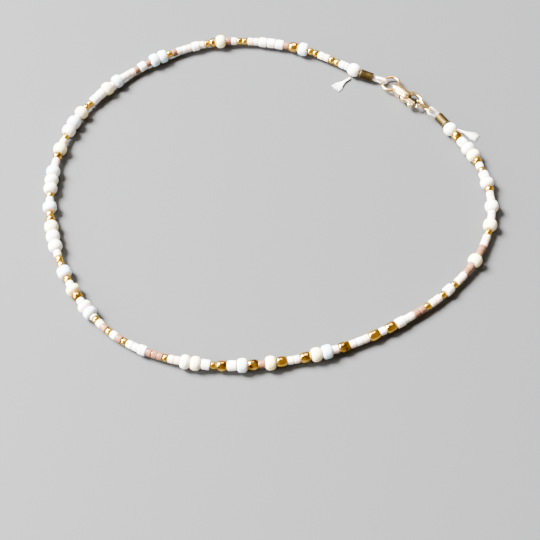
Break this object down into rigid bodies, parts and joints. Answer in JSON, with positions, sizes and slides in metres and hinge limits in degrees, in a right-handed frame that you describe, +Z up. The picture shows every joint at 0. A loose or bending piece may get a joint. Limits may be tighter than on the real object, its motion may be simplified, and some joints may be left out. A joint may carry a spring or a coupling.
{
  "type": "beaded anklet",
  "caption": "Closed loop of glass seed beads on a thread, with crimp tubes, thread loops, jump rings and a fastened lobster clasp, lying flat.",
  "frame": {"origin": "under the middle of the loop, on the surface that it lies on", "axes": "+X to the right in the picture, along the loop's longest way across; +Y to the back, where the clasp is; +Z up"},
  "size_m": [0.0932, 0.0818, 0.004],
  "materials": {
    "ivory_bead": "glossy opaque ivory glass",
    "white_bead": "glossy opaque white glass",
    "opal_bead": "milky opal glass, slightly see-through",
    "small_beads": "glass beads in white, cream, blush, rose and gold on the thread",
    "crimp_metal": "polished dark bronze",
    "thread": "off-white braided thread, frayed at its ends",
    "ring_gold": "polished gold-filled wire",
    "clasp_gold": "polished gold-filled casting"
  },
  "bodies": {
    "anklet": {"bead_01_white": "white_bead", "bead_02_opal": "opal_bead", "bead_03_ivory": "ivory_bead", "bead_04_opal": "opal_bead", "bead_05_opal": "opal_bead", "bead_06_opal": "opal_bead", "bead_07_ivory": "ivory_bead", "bead_08_ivory": "ivory_bead", "bead_09_opal": "opal_bead", "bead_10_white": "white_bead", "bead_11_ivory": "ivory_bead", "bead_12_opal": "opal_bead", "bead_13_white": "white_bead", "bead_14_white": "white_bead", "bead_15_opal": "opal_bead", "bead_16_ivory": "ivory_bead", "bead_17_white": "white_bead", "bead_18_white": "white_bead", "bead_19_opal": "opal_bead", "bead_20_ivory": "ivory_bead", "bead_21_white": "white_bead", "bead_22_opal": "opal_bead", "bead_23_white": "white_bead", "bead_24_ivory": "ivory_bead", "bead_25_opal": "opal_bead", "bead_26_ivory": "ivory_bead", "bead_27_ivory": "ivory_bead", "bead_28_opal": "opal_bead", "bead_29_ivory": "ivory_bead", "bead_30_ivory": "ivory_bead", "bead_31_white": "white_bead", "bead_32_white": "white_bead", "bead_33_ivory": "ivory_bead", "bead_34_white": "white_bead", "bead_35_white": "white_bead", "string_first_half": "small_beads", "string_second_half": "small_beads", "crimp_tube_first": "crimp_metal", "crimp_tube_last": "crimp_metal", "thread_loop_first": "thread", "thread_loop_last": "thread", "jump_ring": "ring_gold", "end_ring": "ring_gold", "clasp_body": "clasp_gold", "thread_tail_first": "thread", "thread_tail_last": "thread"},
    "lever": {"clasp_lever": "clasp_gold"}
  },
  "joints": [
    {"name": "clasp_lever_hinge", "type": "hinge", "parent": "anklet", "child": "lever", "pos_m": [0.02867, 0.02408, 0.00145], "axis": [0, 0, 1], "range_deg": [0, 30], "stiffness_Nm_per_rad": 0.004, "springref_deg": -20.05}
  ]
}
